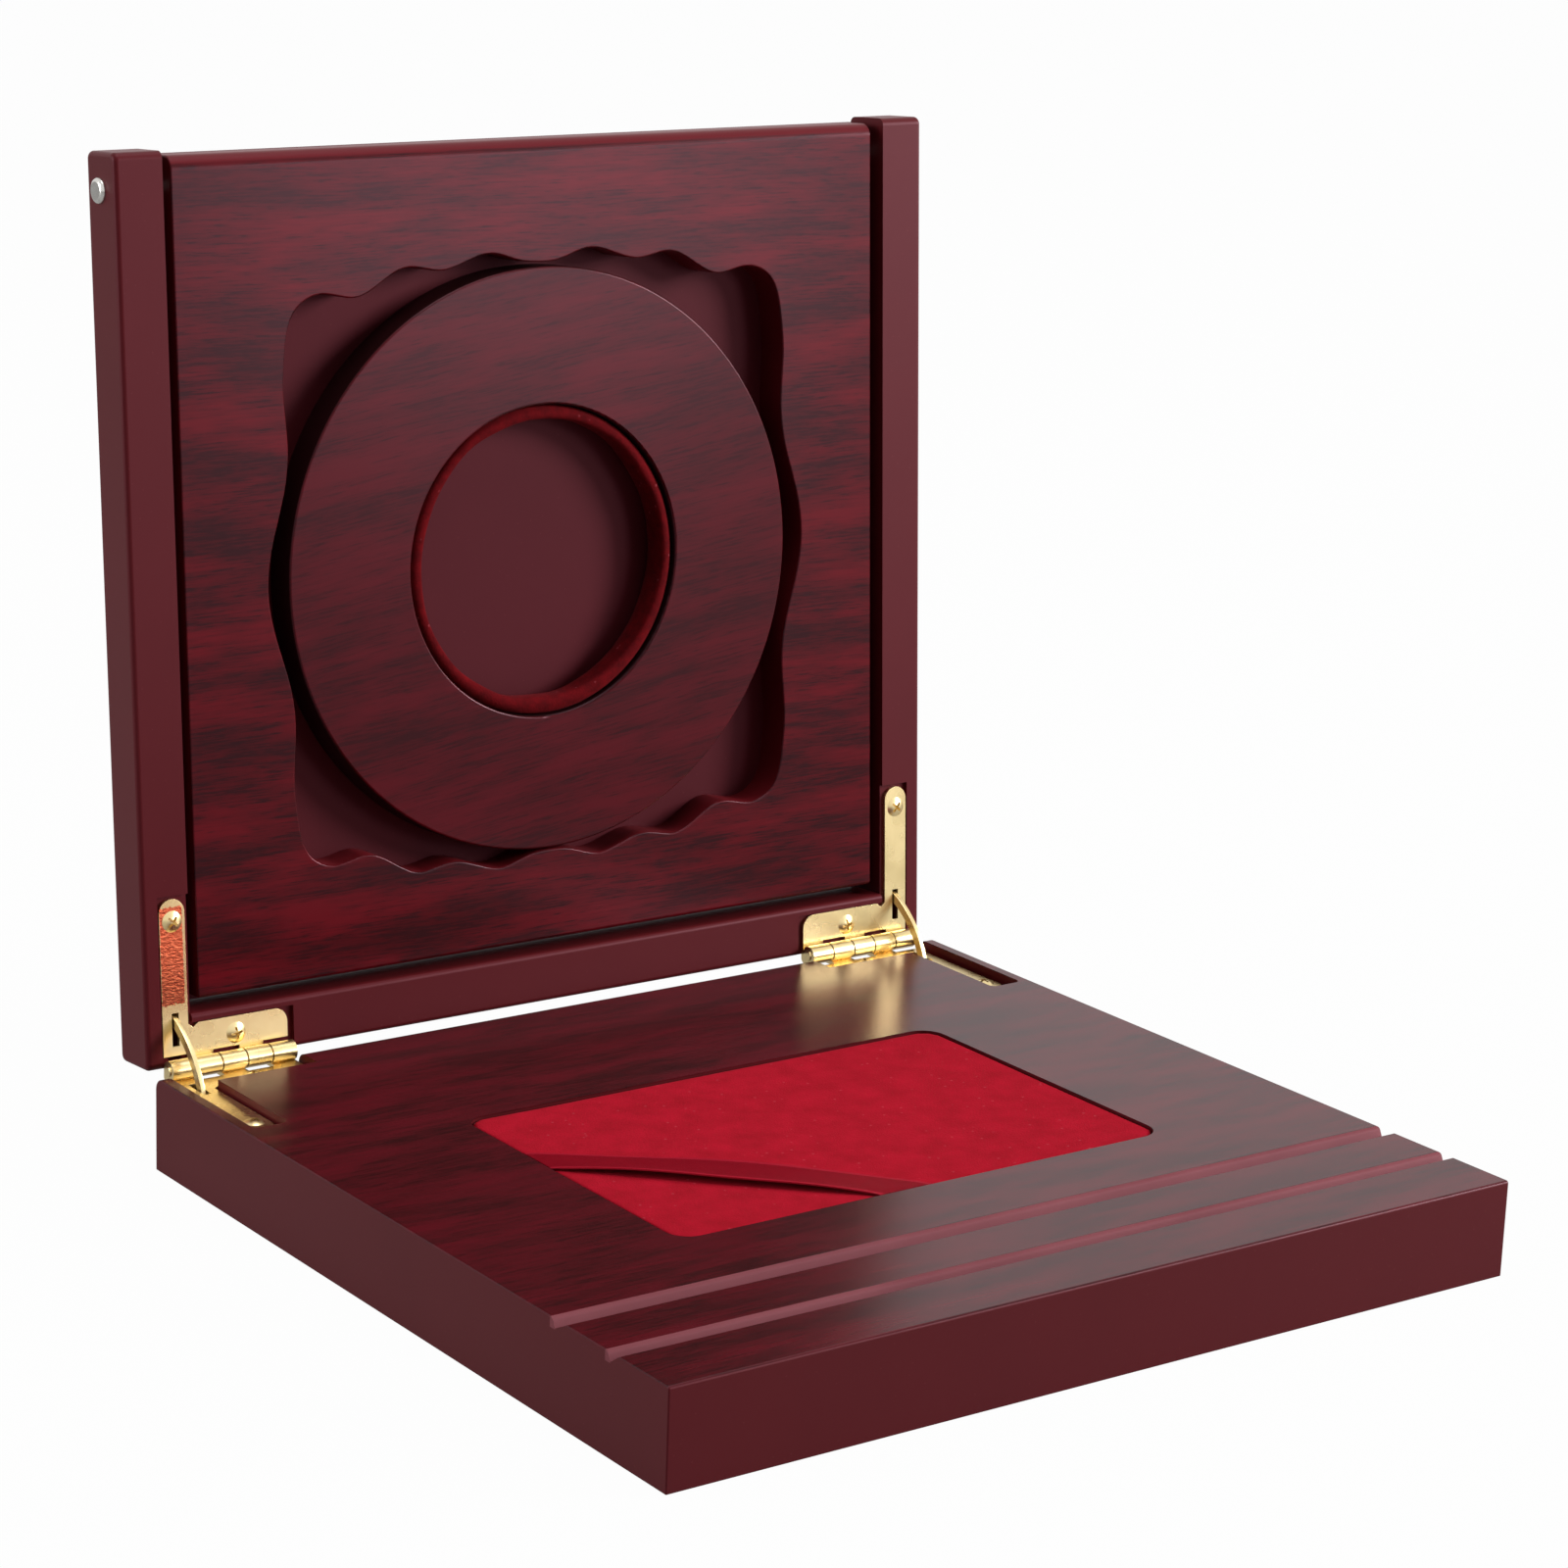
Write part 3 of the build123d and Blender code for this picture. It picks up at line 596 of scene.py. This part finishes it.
def steel_material():
    """Steel of the pivot pins, a little grimy."""
    material, tree, shader, vector = start_material("pin_steel")
    grime = noise(tree, vector, scale=500.0, detail=3.0)
    tone = mix_colour(tree, grime, colour("b9b6b0"), colour("dcdad6"))
    wire(tree, shader, {"Base Color": tone, "Metallic": 1.0, "Roughness": 0.22})
    return material


def card_material():
    """Grey-brown card of the pad's board."""
    material, tree, shader, vector = start_material("pad_card")
    fibres = noise(tree, vector, scale=700.0, detail=3.0)
    tone = mix_colour(tree, fibres, colour("8a7a66"), colour("a08f78"))
    wire(tree, shader, {"Base Color": tone, "Roughness": 0.9})
    return material


# Paint tones of the base and lid, and of the edges of the panel and the ring
PAINT_TONE = colour("4c1014")
# Redder than the other paint, as painted light from above on the cut-out's lower walls
PANEL_EDGE_LIT_TONE = colour("560e14")
# Near black as painted shade on the ring's side walls, deep in the recess
RING_EDGE_PAINTED_SHADE = colour("1d090a")

# Grain tones where they differ from the panel's, and the tilt of the ring's grain in degrees
# The base's grain tones are greyer than the panel's, partly as painted sheen
BASE_TONES_WITH_SHEEN = {"Dark": colour("2c0f10"), "Middle": colour("441216"), "Bright": colour("56121a")}
RING_TONES = {"Dark": colour("2b090b"), "Middle": colour("3c080c"), "Bright": colour("4f0a12")}
RING_TILT = 8.0

PAINT = paint_material("maroon_paint", PAINT_TONE)
RECESS_PAINT = paint_material("recess_paint", colour("47141a"), roughness=0.5, specular=0.12)
BASE_FILM = film_material(
    "base_film", (0.0, 0.0, 1.0), BASE_TOP, PAINT_TONE, tones=BASE_TONES_WITH_SHEEN, grooved=True
)
PANEL_FILM = film_material("panel_film", tuple(LID_OUT), PANEL_LEVEL, PANEL_EDGE_LIT_TONE)
RING_FILM = film_material(
    "ring_film", tuple(LID_OUT), PANEL_LEVEL, RING_EDGE_PAINTED_SHADE, tilt=RING_TILT, tones=RING_TONES
)
PAD_VELVET = velvet_material(
    "pad_velvet", colour("980a1d"), colour("ae0e26"), patch=160.0, sheen=0.06
)
COLLAR_VELVET = velvet_material(
    "collar_velvet", colour("48050a"), colour("66080f"), patch=420.0, sheen=0.05
)
RIBBON = ribbon_material()
BRASS = brass_material()
STRAP_BRASS_PAINTED_REFLECTION = painted_reflection_brass_material()
STEEL = steel_material()
CARD = card_material()


# Mesh helpers
def select_only(piece):
    bpy.ops.object.select_all(action="DESELECT")
    bpy.context.view_layer.objects.active = piece
    piece.select_set(True)


def edit_all():
    """Enter edit mode on the active object with all of it selected."""
    bpy.ops.object.mode_set(mode="EDIT")
    bpy.ops.mesh.select_all(action="SELECT")


def finish_piece(piece, name, material, body, node):
    """Name a finished piece, give it its material and hang it on its body."""
    piece.name = name
    piece.data.name = name
    piece.data.materials.clear()
    piece.data.materials.append(material)
    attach(piece, body)
    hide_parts(node)


# Corners closer than the gap become one, and so do faces that meet at less than the angle, in
# degrees
MERGE_GAP = 0.002 * MM
FLAT_ANGLE = 0.4


def merged_copy(node, name):
    """A copy of a CAD node with its loose triangles joined, ready for edit mode."""
    piece = bpy.data.objects.new(name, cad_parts[node].data.copy())
    bpy.context.scene.collection.objects.link(piece)
    select_only(piece)
    if piece.data.has_custom_normals:
        bpy.ops.mesh.customdata_custom_splitnormals_clear()
    edit_all()
    bpy.ops.mesh.remove_doubles(threshold=MERGE_GAP)
    bpy.ops.mesh.dissolve_limited(angle_limit=math.radians(FLAT_ANGLE))
    bpy.ops.mesh.select_all(action="DESELECT")
    bpy.ops.object.mode_set(mode="OBJECT")
    return piece


def apply_modifier(piece, kind, **settings):
    bpy.context.view_layer.objects.active = piece
    made = piece.modifiers.new(kind.lower(), kind)
    for name, value in settings.items():
        setattr(made, name, value)
    bpy.ops.object.modifier_apply(modifier=made.name)


def smooth(piece, angle):
    """Shade a piece smooth, but for edges sharper than an angle in degrees."""
    select_only(piece)
    bpy.ops.object.shade_smooth_by_angle(angle=math.radians(angle))


def smooth_flats(piece):
    """Shade a bevelled piece so that its flats stay flat."""
    smooth(piece, angle=35)
    apply_modifier(piece, "WEIGHTED_NORMAL", keep_sharp=True, weight=100)


# How far the sharp edges of the brass are broken
METAL_EDGE = 0.12 * MM


def rounded_copy(node, body, material):
    """A copy of a metal node with its sharp edges broken, as a tumbled stamping has."""
    piece = merged_copy(node, node + "_rounded")
    apply_modifier(
        piece,
        "BEVEL",
        width=METAL_EDGE,
        segments=2,
        limit_method="ANGLE",
        angle_limit=math.radians(40),
        use_clamp_overlap=True,
    )
    smooth_flats(piece)
    finish_piece(piece, node + "_rounded", material, body, node)


# Pieces
def dress_cad_nodes():
    """Materials of the CAD nodes that keep their own shape."""
    painted = (
        "base_front_rail", "base_back_rail", "base_left_rail", "base_right_rail",
        "base_bottom_board", "lid_left_stile", "lid_right_stile", "lid_bottom_rail",
    )
    dress = {name: PAINT for name in painted}
    dress["panel_back_board"] = RECESS_PAINT
    dress["base_top_board"] = BASE_FILM
    dress["coin_ring"] = RING_FILM
    dress["pad_board"] = CARD
    for side in ("left", "right"):
        dress[side + "_pivot_pin"] = STEEL
        dress[side + "_hinge_pin"] = BRASS
        for owner in ("base", "lid"):
            dress[f"{side}_{owner}_screws"] = BRASS
    for name, material in dress.items():
        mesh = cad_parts[name].data
        mesh.materials.clear()
        mesh.materials.append(material)


def make_hinge_pieces():
    """The hinges' leaves and stays, of which one leaf has a painted reflection of the red pad."""
    bodies = {"base_leaf": "base", "lid_leaf": "lid"}
    for side in ("left", "right"):
        for leaf, body in bodies.items():
            # The left lid leaf wears a painted reflection of the red pad
            material = STRAP_BRASS_PAINTED_REFLECTION if (side, leaf) == ("left", "lid_leaf") else BRASS
            rounded_copy(f"{side}_{leaf}", body, material)
        rounded_copy(f"{side}_stay", f"{side}_stay_arm", BRASS)


# The rim of the wavy cut-out: how near the face it lies, how far it reaches from the cut-out's
# centre to each side and up or down, and its rounding
RIM_NEAR = 0.02 * MM
RIM_ACROSS, RIM_UP = 70 * MM, 68 * MM
RIM_ROUND = 0.35 * MM

# A rim edge joins a side that looks out of the lid, more than the first share, and one that does
# so less than the second
LOOKS_OUT, LOOKS_ASIDE = 0.9, 0.5


def make_panel_face():
    """The face board with the sharp rim of its wavy cut-out rounded over."""
    piece = merged_copy("panel_face_board", "panel_face")
    mesh = piece.data
    centre = AXIS + LID_UP * WAVE_CENTRE

    def at_rim(point):
        """Whether a point is on the face and within the cut-out's reach."""
        on_face = abs(point.dot(LID_OUT) - PANEL_LEVEL) < RIM_NEAR
        return on_face and abs(point.x) < RIM_ACROSS and abs((point - centre).dot(LID_UP)) < RIM_UP

    bpy.ops.object.mode_set(mode="EDIT")
    bpy.ops.mesh.select_mode(type="EDGE")
    bpy.ops.object.mode_set(mode="OBJECT")
    facing = {}
    for polygon in mesh.polygons:
        for key in polygon.edge_keys:
            facing.setdefault(key, []).append(polygon.normal.dot(LID_OUT))
    for edge in mesh.edges:
        sides = facing.get(edge.key, ())
        sharp = len(sides) == 2 and max(sides) > LOOKS_OUT and min(sides) < LOOKS_ASIDE
        edge.select = sharp and all(at_rim(mesh.vertices[index].co) for index in edge.vertices)
    bpy.ops.object.mode_set(mode="EDIT")
    bpy.ops.mesh.bevel(offset=RIM_ROUND, segments=3, affect="EDGES")
    bpy.ops.object.mode_set(mode="OBJECT")
    smooth_flats(piece)
    finish_piece(piece, "panel_face", PANEL_FILM, "panel", "panel_face_board")


# The pad's rounded corners, the grid that it is remeshed to, the room left above it for its
# swells, and how many hollows and swells it has, with the seed of their draws
PAD_CORNER = 4.4 * MM
PAD_GRID = 0.75 * MM
PAD_ROOM = 0.1 * MM
PAD_HOLLOWS = 26
PAD_SEED = 11


def make_pad_velvet():
    """The pad's velvet: a padded plate with a soft edge, round corners and faint hollows."""
    low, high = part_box("pad_velvet")
    size = high - low
    centre = (low + high) / 2
    bpy.ops.mesh.primitive_plane_add(size=1.0, location=(centre.x, centre.y, low.z))
    piece = bpy.context.object
    piece.scale = (size.x, size.y, 1.0)
    bpy.ops.object.transform_apply(location=True, rotation=True, scale=True)
    edit_all()
    bpy.ops.mesh.bevel(offset=PAD_CORNER, segments=6, affect="VERTICES")
    bpy.ops.mesh.select_all(action="SELECT")
    thickness = (0, 0, size.z - PAD_ROOM)
    bpy.ops.mesh.extrude_region_move(TRANSFORM_OT_translate={"value": thickness})
    bpy.ops.object.mode_set(mode="OBJECT")
    apply_modifier(piece, "REMESH", mode="VOXEL", voxel_size=PAD_GRID)
    apply_modifier(piece, "SMOOTH", factor=0.5, iterations=2)
    top = max(v.co.z for v in piece.data.vertices)
    rng = random.Random(PAD_SEED)
    # Each hollow or swell: its place, its spread and its rise, in millimetres
    hollows = [
        (rng.uniform(-50, 50), rng.uniform(-32, 34), rng.uniform(8, 20), rng.uniform(-0.12, 0.1))
        for _ in range(PAD_HOLLOWS)
    ]
    for vertex in piece.data.vertices:
        lift = (vertex.co.z - low.z) / (top - low.z)
        x = vertex.co.x / MM
        y = vertex.co.y / MM
        sag = sum(
            rise * math.exp(-((x - hx) ** 2 + (y - hy) ** 2) / spread**2)
            for hx, hy, spread, rise in hollows
        )
        vertex.co.z += lift * sag * MM
    smooth(piece, angle=60)
    finish_piece(piece, "pad_velvet_cloth", PAD_VELVET, "pad", "pad_velvet")


# The ribbon's two edges at each end of its stretch, in millimetres
RIBBON_START = (Vector((-59.0, 17.2, 0)), Vector((-59.0, 7.1, 0)))
RIBBON_END = (Vector((0.5, -36.85, 0)), Vector((-12.1, -36.85, 0)))
RIBBON_STEPS = 48
RIBBON_BANDS = 12

# The share of its steps in each tail, how deep a tail is tucked in, and its thickness
TAIL_SHARE = 0.06
TAIL_DEPTH = 4.0
RIBBON_THICK = 0.3 * MM

# The ribbon over the pad, in millimetres: its least height, its arch, and its curl and twist at
# its edges
RIBBON_LOW, RIBBON_ARCH, RIBBON_CURL, RIBBON_TWIST = 0.22, 1.25, 0.18, 0.32


def ribbon_height(t, s):
    """Height of the ribbon over the pad's top, along it (0 to 1) and across it (-1 to 1)."""
    swell = math.sin(math.pi * t)
    arch = RIBBON_ARCH * swell**0.8
    curl = RIBBON_CURL * s * s * swell
    twist = RIBBON_TWIST * s * math.sin(2.4 * math.pi * t + 0.5) * swell
    return RIBBON_LOW + arch + curl + twist


def make_ribbon():
    """The lifting ribbon: a woven band that lies slack across the pad's corner."""
    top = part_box("pad_velvet")[1].z
    bpy.ops.mesh.primitive_grid_add(
        x_subdivisions=RIBBON_STEPS, y_subdivisions=RIBBON_BANDS, size=1.0, location=(0, 0, 0)
    )
    piece = bpy.context.object
    layer = piece.data.uv_layers.active
    layer.name = "along_and_across"
    for loop in piece.data.loops:
        co = piece.data.vertices[loop.vertex_index].co
        layer.data[loop.index].uv = ((co.x + 0.5) * RIBBON_LENGTH, (co.y + 0.5) * RIBBON_WIDTH)
    for vertex in piece.data.vertices:
        t = vertex.co.x + 0.5
        s = 2.0 * vertex.co.y
        inner = min(1.0, max(0.0, (t - TAIL_SHARE) / (1.0 - 2.0 * TAIL_SHARE)))
        side = (s + 1.0) / 2.0
        start = RIBBON_START[0].lerp(RIBBON_START[1], side)
        end = RIBBON_END[0].lerp(RIBBON_END[1], side)
        place = start.lerp(end, inner) * MM
        tucked = max(0.0, TAIL_SHARE - t, t - (1.0 - TAIL_SHARE)) / TAIL_SHARE
        place.z = top + ribbon_height(inner, s) * MM - tucked * TAIL_DEPTH * MM
        vertex.co = place
    apply_modifier(piece, "SOLIDIFY", thickness=RIBBON_THICK, offset=0.0)
    smooth(piece, angle=50)
    finish_piece(piece, "pad_ribbon_band", RIBBON, "pad", "pad_ribbon")


# The collar, in millimetres: its back and front out of the lid from the axis, and its radii
COLLAR_BACK, COLLAR_FRONT = -11.15, -3.65
COLLAR_INNER, COLLAR_OUTER = 30.4, 33.5

# The lip's section, from its outer foot over the top to its inner foot: radius and height
COLLAR_PROFILE = (
    (COLLAR_OUTER, COLLAR_BACK),
    (COLLAR_OUTER, COLLAR_FRONT - 1.6),
    (COLLAR_OUTER - 0.35, COLLAR_FRONT - 0.9),
    (COLLAR_OUTER - 1.0, COLLAR_FRONT - 0.25),
    (COLLAR_OUTER - 1.7, COLLAR_FRONT),
    (COLLAR_INNER + 0.6, COLLAR_FRONT - 0.1),
    (COLLAR_INNER + 0.1, COLLAR_FRONT - 0.6),
    (COLLAR_INNER, COLLAR_FRONT - 1.4),
    (COLLAR_INNER, COLLAR_BACK),
)

# The lathe's steps round the collar, and its uneven waves with the seed of their draws
COLLAR_STEPS = 144
COLLAR_WAVES = 9
COLLAR_SEED = 5

# The collar is fuller near its lowest point: by how much, and how far down from its side
FULLER = 0.8
FULLEST_AT = math.radians(80)

# The lathed lip's first and last sections lie closer than this
SEAM_GAP = 0.001 * MM


def make_collar():
    """The velvet collar: a lathed lip, fuller and uneven at its foot."""
    bpy.ops.mesh.primitive_circle_add(
        vertices=len(COLLAR_PROFILE), radius=1.0, location=(0, 0, 0)
    )
    piece = bpy.context.object
    for vertex, (radius, out) in zip(piece.data.vertices, COLLAR_PROFILE):
        vertex.co = (radius * MM, 0.0, out * MM)
    edit_all()
    bpy.ops.mesh.spin(steps=COLLAR_STEPS, angle=2.0 * math.pi, center=(0, 0, 0), axis=(0, 0, 1))
    bpy.ops.mesh.select_all(action="SELECT")
    bpy.ops.mesh.remove_doubles(threshold=SEAM_GAP)
    bpy.ops.mesh.normals_make_consistent(inside=False)
    bpy.ops.object.mode_set(mode="OBJECT")
    apply_modifier(piece, "SUBSURF", levels=1, render_levels=1)
    rng = random.Random(COLLAR_SEED)
    # Each wave: how often it goes round, its phase, and its size in millimetres
    waves = [
        (rng.randint(3, 14), rng.uniform(0, 6.28), rng.uniform(0.02, 0.07))
        for _ in range(COLLAR_WAVES)
    ]
    turn = Matrix((Vector((1, 0, 0)), LID_UP, LID_OUT)).transposed()
    centre = AXIS + LID_UP * RING_CENTRE
    for vertex in piece.data.vertices:
        x, y, out = vertex.co / MM
        radius = math.hypot(x, y)
        angle = math.atan2(y, x)
        share = (COLLAR_OUTER - radius) / (COLLAR_OUTER - COLLAR_INNER)
        share = max(0.0, min(1.0, share))
        uneven = sum(size * math.sin(count * angle + phase) for count, phase, size in waves)
        foot = max(0.0, math.cos(angle + FULLEST_AT)) ** 3
        radius -= share * (uneven + FULLER * foot)
        place = Vector((radius * math.cos(angle), radius * math.sin(angle), out)) * MM
        vertex.co = centre + turn @ place
    smooth(piece, angle=60)
    finish_piece(
        piece, "coin_collar_velvet", COLLAR_VELVET, "panel", "coin_collar"
    )


add_camera()
light_world()
add_floor()
for lamp in LAMPS:
    add_lamp(*lamp)
dress_cad_nodes()
make_hinge_pieces()
make_panel_face()
make_pad_velvet()
make_ribbon()
make_collar()
bpy.context.scene.view_settings.view_transform = "Standard"
